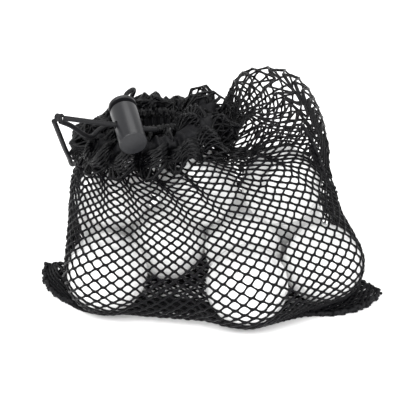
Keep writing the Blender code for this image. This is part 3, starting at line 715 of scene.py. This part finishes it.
def build_guide():
    stations = 80
    lefts = []
    for i in range(stations):
        body, ruffle, body_len = station((i + 0.5) / stations)
        lefts.append((body, ruffle, body_len))
    fine = 160
    guide = np.zeros((stations, fine, 3))
    ruff = np.zeros((stations, fine))
    for i, (body, ruffle, body_len) in enumerate(lefts):
        total = ROWS * PITCH_Y
        v = np.linspace(0, 1, fine)
        near_front = 1.0 if (i + 0.5) / stations < 0.5 else 0.35
        squeeze = 16.0 * near_front
        s = v * total
        # the first rows are bunched at the sewn edge
        s_body = np.where(s < 2 * squeeze, s * s / (4 * squeeze + 1e-6) + 0 * s, s - squeeze)
        s_body = np.where(s < 2 * squeeze, np.maximum(s * 0.42, s_body), s_body)
        rb = np.concatenate([[0], np.cumsum(np.linalg.norm(np.diff(body, axis=0), axis=1))])
        rr = np.concatenate([[0], np.cumsum(np.linalg.norm(np.diff(ruffle, axis=0), axis=1))])
        limit = min(body_len, (total - squeeze) * 0.9)
        stretch = body_len / limit
        on_body = s_body <= limit
        q = np.clip((s_body - limit) / (s_body[-1] - limit), 0, 1)
        for k in range(3):
            guide[i, :, k] = np.where(on_body, np.interp(s_body * stretch, rb, body[:, k]), np.interp(q * rr[-1], rr, ruffle[:, k]))
        alpha = math.pi + 2 * math.pi * (i + 0.5) / stations
        early = 10.0 + 34.0 * bump(((math.degrees(alpha) + 180.0) % 360.0 - 180.0) - 5.0, 75.0)
        rise = np.clip(1 - (limit - s_body) / early, 0, 1) ** 2 * 0.5
        ruff[i] = np.where(on_body, rise, np.clip(0.5 + q * 3, 0, 1))
    return guide, ruff


def sample_guide(guide, ruff, u, v):
    """Values of the guide at u (periodic) and v, both arrays."""
    n, m = guide.shape[:2]
    x = (u * n - 0.5) % n
    i0 = np.floor(x).astype(int)
    fx = (x - i0)[..., None]
    y = np.clip(v, 0, 1) * (m - 1)
    j0 = np.clip(np.floor(y).astype(int), 0, m - 2)
    fy = (y - j0)[..., None]

    def row(i):
        i = i % n
        return guide[i, j0] * (1 - fy) + guide[i, j0 + 1] * fy

    a, b, c, d = row(i0 - 1), row(i0), row(i0 + 1), row(i0 + 2)
    g = 0.5 * (2 * b + (c - a) * fx + (2 * a - 5 * b + 4 * c - d) * fx**2 + (3 * b - a - 3 * c + d) * fx**3)
    i1 = (i0 + 1) % n
    fyy, fxx = fy[..., 0], fx[..., 0]
    r = (ruff[i0 % n, j0] * (1 - fyy) + ruff[i0 % n, j0 + 1] * fyy) * (1 - fxx) + (ruff[i1, j0] * (1 - fyy) + ruff[i1, j0 + 1] * fyy) * fxx
    return g, r


PLEAT, PLEAT_DEPTH = 8, 2.3
HOOD_FACE, HOOD_SLACK = np.array((33.0, 24.0, 98.0)), 0.36


def normals_of(g):
    """Unit normals of a field of knots, around the bag and up it."""
    around = np.roll(g, -2, axis=0) - np.roll(g, 2, axis=0)
    n = np.cross(around, np.gradient(g, axis=1))
    return n / np.maximum(np.linalg.norm(n, axis=-1, keepdims=True), 1e-6)


def settle(guide, ruff, u, v, ease, iterations):
    """Slides the net's knots along the guide until every knot sits evenly between its neighbours."""
    even_c = (np.arange(COLS) % 2 == 0)[:, None]
    cap_v = (ROWS - 0.9) / (ROWS - 0.3)

    def beside(f, step):
        """Sum of the two knots of the next column that share a cell with each knot."""
        n = np.roll(f, -step, axis=0)
        low, high = n.copy(), n.copy()
        # even columns sit half a row below odd ones
        down = np.concatenate([n[:, :1], n[:, :-1]], axis=1)
        up = np.concatenate([n[:, 1:], n[:, -1:]], axis=1)
        e = even_c if f.ndim == 2 else even_c[..., None]
        return np.where(e, down, low), np.where(e, high, up)

    w_side, w_up = 1.0, 0.585
    for _ in range(iterations):
        g, _r = sample_guide(guide, ruff, u, v)
        total = w_up * (np.concatenate([g[:, 1:], g[:, -1:]], axis=1) + np.concatenate([g[:, :1], g[:, :-1]], axis=1))
        for step in (1, -1):
            a_, b_ = beside(g, step)
            total = total + w_side * (a_ + b_)
        pull = total / (4 * w_side + 2 * w_up) - g
        h = 0.002
        gu = (sample_guide(guide, ruff, u + h, v)[0] - sample_guide(guide, ruff, u - h, v)[0]) / (2 * h)
        gv = (sample_guide(guide, ruff, u, v + h)[0] - sample_guide(guide, ruff, u, v - h)[0]) / (2 * h)
        aa, ab, bb = (gu * gu).sum(-1), (gu * gv).sum(-1), (gv * gv).sum(-1)
        pa, pb = (gu * pull).sum(-1), (gv * pull).sum(-1)
        det = np.maximum(aa * bb - ab * ab, 0.05 * aa * bb + 1e-9)
        du = np.clip((bb * pa - ab * pb) / det, -0.004, 0.004)
        dv = np.clip((aa * pb - ab * pa) / det, -0.01, 0.01)
        u = u + du * ease
        v = np.clip(v + dv * ease, 0.0, cap_v + 0.0 * v + 0.01)
    return u, v


def make_net():
    guide, ruff = build_guide()
    c = np.arange(COLS)[:, None]
    k = np.arange(ROWS)[None, :]
    v = (k + 0.5 * (c % 2) + 0.15) / (ROWS - 0.3)
    u = c * PITCH_X / (COLS * PITCH_X) + 0 * v
    g, r = sample_guide(guide, ruff, u, v)
    ease = 0.8 * np.clip((k - 4.0) / 5.0, 0, 1) * np.clip(1 - 1.6 * (r - 0.25), 0, 1) + 0 * v
    u, v = settle(guide, ruff, u, v, ease, SETTLE)
    # the hood holds more netting than its size needs
    g, r = sample_guide(guide, ruff, u, v)
    at = np.unravel_index(((g - HOOD_FACE) ** 2).sum(-1).argmin(), u.shape)
    du, dv = u - u[at], v - v[at]
    close = HOOD_SLACK * np.exp(-((du / 0.085) ** 2) - (dv / 0.17) ** 2)
    u, v = u - du * close, v - dv * close
    g, r = sample_guide(guide, ruff, u, v)
    # where the columns crowd towards the mouth, the surplus lies in small lapped pleats
    width = np.linalg.norm(np.roll(g, -4, axis=0) - np.roll(g, 4, axis=0), axis=-1) / (8 * PITCH_X)
    for _ in range(2):
        width = (width + np.roll(width, 1, axis=0) + np.roll(width, -1, axis=0)) / 3
    lap = np.clip(1 / np.maximum(width, 0.2) - 1.15, 0, 1.9) * np.clip((k - 4.0) / 4.0, 0, 1)
    phase = 2 * math.pi * ((c + 1.6 * np.sin(0.21 * k + 0.05 * c) + 0.8 * np.sin(0.37 * c)) / PLEAT)
    tilt = normals_of(g)
    outward = np.sign((tilt * (g - np.array((AXIS_X, AXIS_Y, 40.0)))).sum(-1, keepdims=True))
    g, r = sample_guide(guide, ruff, u + lap * np.sin(phase) * PLEAT / (2 * math.pi * COLS), v)
    g = g - tilt * outward * (PLEAT_DEPTH * np.clip(lap, 0, 1) * (1 - np.cos(phase - 1.9)))[..., None]
    alpha = math.pi + 2 * math.pi * u
    wave = np.cos(14 * alpha + 4 * v + 0.9 * np.cos(2 * alpha + 1.0)) + 0.5 * np.cos(23 * alpha - 7 * v + 1.0)
    out = np.stack([np.cos(alpha), np.sin(alpha), 0 * alpha], -1)
    g = g + out * (wave * 3 * np.clip(r, 0, 1))[..., None]
    g[..., 2] += 2.4 * np.clip(r, 0, 1) * np.cos(17 * alpha + 9 * v)
    # slanting folds where the slack hood comes out of the gather
    x, y, z = g[..., 0], g[..., 1], g[..., 2]
    slant = np.exp(-(((x - 20.0) / 15.0) ** 2)) * np.clip((z - 60.0) / 9.0, 0, 1) * np.clip((104.0 - z) / 14.0, 0, 1) * np.clip((62.0 - y) / 14.0, 0, 1)
    deep = 2.4 * slant * np.cos(2 * math.pi * (0.67 * x - 0.74 * z + 1.5 * np.sin(0.16 * z)) / 8.5)
    g = g + deep[..., None] * np.array((-0.25, -0.8, 0.5))
    # balls and table hold the net off
    flat = g.reshape(-1, 3)
    for _ in range(6):
        for centre in CENTRES:
            o = flat - centre
            n = np.sqrt((o * o).sum(axis=1, keepdims=True))
            flat += o / np.maximum(n, 1e-6) * np.clip(BALL_R + YARN_R + 0.25 - n, 0, None)
        flat[:, 2] = np.maximum(flat[:, 2], YARN_R + 0.05)
    g = flat.reshape(g.shape)
    # each knot is a short bar that lies along its row
    even_c = (np.arange(COLS) % 2 == 0)[:, None, None]

    def beside(step):
        n = np.roll(g, -step, axis=0)
        down = np.concatenate([n[:, :1], n[:, :-1]], axis=1)
        up = np.concatenate([n[:, 1:], n[:, -1:]], axis=1)
        return (n + np.where(even_c, down, up)) / 2

    row = (beside(1) - beside(-1)) / 2
    run = np.linalg.norm(row, axis=-1, keepdims=True)
    half = BAR_HALF * np.clip(run / PITCH_X, 0.35, 1.15)
    row = row / np.maximum(run, 1e-6) * half
    return g - row, g + row, r, r


def yarn_paths(left, right, c_range, k_range, up):
    """Continuous yarns through the net: every yarn runs along a bar, then along a diagonal to the next column."""
    tk = np.zeros_like(left)
    tk[:, 1:-1] = (left[:, 2:] - left[:, :-2]) + (right[:, 2:] - right[:, :-2])
    tk[:, 0] = tk[:, 1]
    tk[:, -1] = tk[:, -2]
    tk /= np.maximum(np.linalg.norm(tk, axis=-1, keepdims=True), 1e-6)
    bar = right - left
    normal = np.cross(bar, tk)
    normal /= np.maximum(np.linalg.norm(normal, axis=-1, keepdims=True), 1e-6)
    off = 0.38 if up else -0.38
    lift = 0.16 if up else -0.16
    la = left - tk * off + normal * lift
    ra = right + tk * off + normal * lift
    c0, c1 = c_range
    k0, k1 = k_range
    paths = []
    used = np.zeros((c1 - c0, k1 - k0), bool)
    for cs in range(c0, c1):
        for ks in range(k0, k1):
            if used[cs - c0, ks - k0]:
                continue
            c, k = cs, ks
            pts = []
            while c0 <= c < c1 and k0 <= k < k1:
                used[c - c0, k - k0] = True
                pts.append(la[c % COLS, k])
                pts.append(ra[c % COLS, k])
                odd = c % 2
                k = k + (odd if up else odd - 1)
                c += 1
            # run on to the first bar beyond the edge, so that pieces meet
            if c == c1 and c < COLS * 2 and 0 <= k < ROWS:
                pts.append(la[c % COLS, k])
            elif k0 <= k1 <= k < ROWS or (0 <= k < k0):
                pts.append(la[c % COLS, k])
            paths.append(np.array(pts))
    return paths


def smooth_yarn(p, per):
    if len(p) < 3:
        return even(p, count=3)
    return catmull(p, per)


def weave_pieces(left, right):
    per = 2
    half = COLS // 2
    pieces = []
    for name, cr, kr in (
        ("weave_front_low", (0, half), (0, ROWS // 2)),
        ("weave_front_high", (0, half), (ROWS // 2, ROWS)),
        ("weave_back_low", (half, COLS), (0, ROWS // 2)),
        ("weave_back_high", (half, COLS), (ROWS // 2, ROWS)),
    ):
        paths = yarn_paths(left, right, cr, kr, True) + yarn_paths(left, right, cr, kr, False)
        paths = [smooth_yarn(p, per) for p in paths if len(p) >= 2]
        # thick where two yarns are knitted together, thin between the knots
        sizes = [YARN_R * np.where(np.arange(len(p)) % 4 == 3, 0.90, np.where(np.arange(len(p)) % 4 == 1, 1.26, 1.14)) for p in paths]
        pts, faces = tubes(paths, sizes, 6)
        # the upper rows take the darker copy of the yarn, painted shade
        obj = mesh_object(name, pts, faces, MAT_SHADED_YARN if kr[0] else MAT_NET)
        pieces.append(obj)
    return pieces


left, right, rl, rr = make_net()
weave = weave_pieces(left, right)
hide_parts("net_front", "corner_left", "corner_right")
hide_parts("net_crown", "gather_front", "gather_left")
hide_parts("net_back", "net_base")
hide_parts("gather_back", "gather_right")


def gather_core():
    """The inner folds of the bunched netting, packed tight around the mouth."""
    around, across = 300, 44
    al = 2 * np.pi * np.arange(around) / around
    t = 2 * np.pi * np.arange(across) / across
    A, T = np.meshgrid(al, t, indexing="ij")
    full = lobe(A)
    w = 5.6 * (0.62 + 0.62 * full)
    h = 0.5 * (GATHER_H + GATHER_H_RIGHT * np.cos(A) + GATHER_H_BACK * np.sin(A)) * (0.66 + 0.30 * full)
    folds = 0.55 * np.sin(31 * A + 3.0 * np.sin(T)) + 0.45 * np.sin(47 * A - 2.0 * np.cos(T) + 1.0) + 0.30 * np.sin(5 * T + 9 * A)
    out = np.stack([np.cos(A) / GATHER_RX, np.sin(A) / GATHER_RY], -1)
    out /= np.linalg.norm(out, axis=-1, keepdims=True)
    r = (w + folds) * np.cos(T) + 1.5 * full
    z = (h + folds) * np.sin(T) + h + gather_foot(A) - 1.0
    pts = np.stack([MOUTH_X + GATHER_RX * np.cos(A) + out[..., 0] * r, MOUTH_Y + GATHER_RY * np.sin(A) + out[..., 1] * r, z], -1)
    i = np.arange(around * across).reshape(around, across)
    j = np.roll(i, -1, axis=0)
    faces = np.stack([i, j, np.roll(j, -1, axis=1), np.roll(i, -1, axis=1)], -1).reshape(-1, 4)
    return mesh_object("gather_folds", pts.reshape(-1, 3), faces, MAT_SEAM)


core = gather_core()

# sewn edges: an overlocked roll, knotted once per stitch
def overlock(name, route, radius, node):
    path = even(catmull(route, 6), spacing=0.45)
    n = np.arange(len(path))
    stitch = np.column_stack([0.35 * np.sin(n * 0.9), 0.35 * np.cos(n * 0.9), 0.45 * np.sin(n * 0.62)])
    size = radius * (1.0 + 0.20 * np.cos(n * 1.24) + 0.10 * np.cos(n * 0.23))
    pts, faces = tubes([path + stitch], [size], 8)
    obj = mesh_object(name, pts, faces, MAT_SEAM)
    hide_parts(node)
    return obj


knots = (left + right) / 2
half = COLS // 2
overlock("seam_bottom_overlock", knots[:half, 0] + (0, 0, 0.95), 1.0, "seam_bottom")
side_rows = int(0.56 * ROWS)
for name, column, node in (("seam_left_overlock", 0, "seam_left"), ("seam_right_overlock", half, "seam_right")):
    run = knots[column, 1:side_rows]
    away = run[:, :2] - np.array((AXIS_X, AXIS_Y))
    away /= np.linalg.norm(away, axis=1, keepdims=True)
    overlock(name, run + np.column_stack([away * 0.9, 0 * away[:, 0] + 0.2]), 0.85, node)


# casing: a narrow double hem, crimped along its length by the cord that runs inside it
def hem_casing():
    around, across = 420, 18
    a = 2 * np.pi * np.arange(around) / around
    t = 2 * np.pi * np.arange(across) / across
    A, T = np.meshgrid(a, t, indexing="ij")
    crimp = 0.34 * np.sin(46 * A + 1.2 * np.sin(T)) + 0.22 * np.sin(71 * A - 1.5 * np.cos(T)) + 0.12 * np.sin(3 * T + 19 * A)
    out = np.stack([np.cos(A) / HEM_RX, np.sin(A) / HEM_RY], -1)
    out /= np.linalg.norm(out, axis=-1, keepdims=True)
    r = (2.2 + crimp) * np.cos(T)
    z = (2.7 + crimp) * np.sin(T) + HEM_Z + 0.35 * np.sin(5 * A + 1.0)
    pts = np.stack([MOUTH_X + HEM_RX * np.cos(A) + out[..., 0] * r, MOUTH_Y + HEM_RY * np.sin(A) + out[..., 1] * r, z], -1)
    i = np.arange(around * across).reshape(around, across)
    j = np.roll(i, -1, axis=0)
    faces = np.stack([i, j, np.roll(j, -1, axis=1), np.roll(i, -1, axis=1)], -1).reshape(-1, 4)
    # the casing takes the darker copy of the yarn, painted shade
    return mesh_object("hem_casing", pts.reshape(-1, 3), faces, MAT_SHADED_YARN)


def mouth_throat():
    """Netting that hangs in close folds below the casing, inside the mouth."""
    around, across = 420, 24
    a = 2 * np.pi * np.arange(around) / around
    t = 2 * np.pi * np.arange(across) / across
    A, T = np.meshgrid(a, t, indexing="ij")
    fold = 0.75 * np.sin(27 * A + 0.8 * np.sin(2 * A)) + 0.35 * np.sin(53 * A + 1.0)
    out = np.stack([np.cos(A) / HEM_RX, np.sin(A) / HEM_RY], -1)
    out /= np.linalg.norm(out, axis=-1, keepdims=True)
    r = 0.6 + fold + (0.8 + 0.1 * np.sin(9 * T)) * np.cos(T)
    z = 86.2 + 0.5 * np.sin(7 * A) + 4.6 * np.sin(T)
    pts = np.stack([MOUTH_X + HEM_RX * np.cos(A) + out[..., 0] * r, MOUTH_Y + HEM_RY * np.sin(A) + out[..., 1] * r, z], -1)
    i = np.arange(around * across).reshape(around, across)
    j = np.roll(i, -1, axis=0)
    faces = np.stack([i, j, np.roll(j, -1, axis=1), np.roll(i, -1, axis=1)], -1).reshape(-1, 4)
    return mesh_object("mouth_throat_folds", pts.reshape(-1, 3), faces, MAT_SEAM)


mouth_throat()
hem = hem_casing()
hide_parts("mouth_hem")
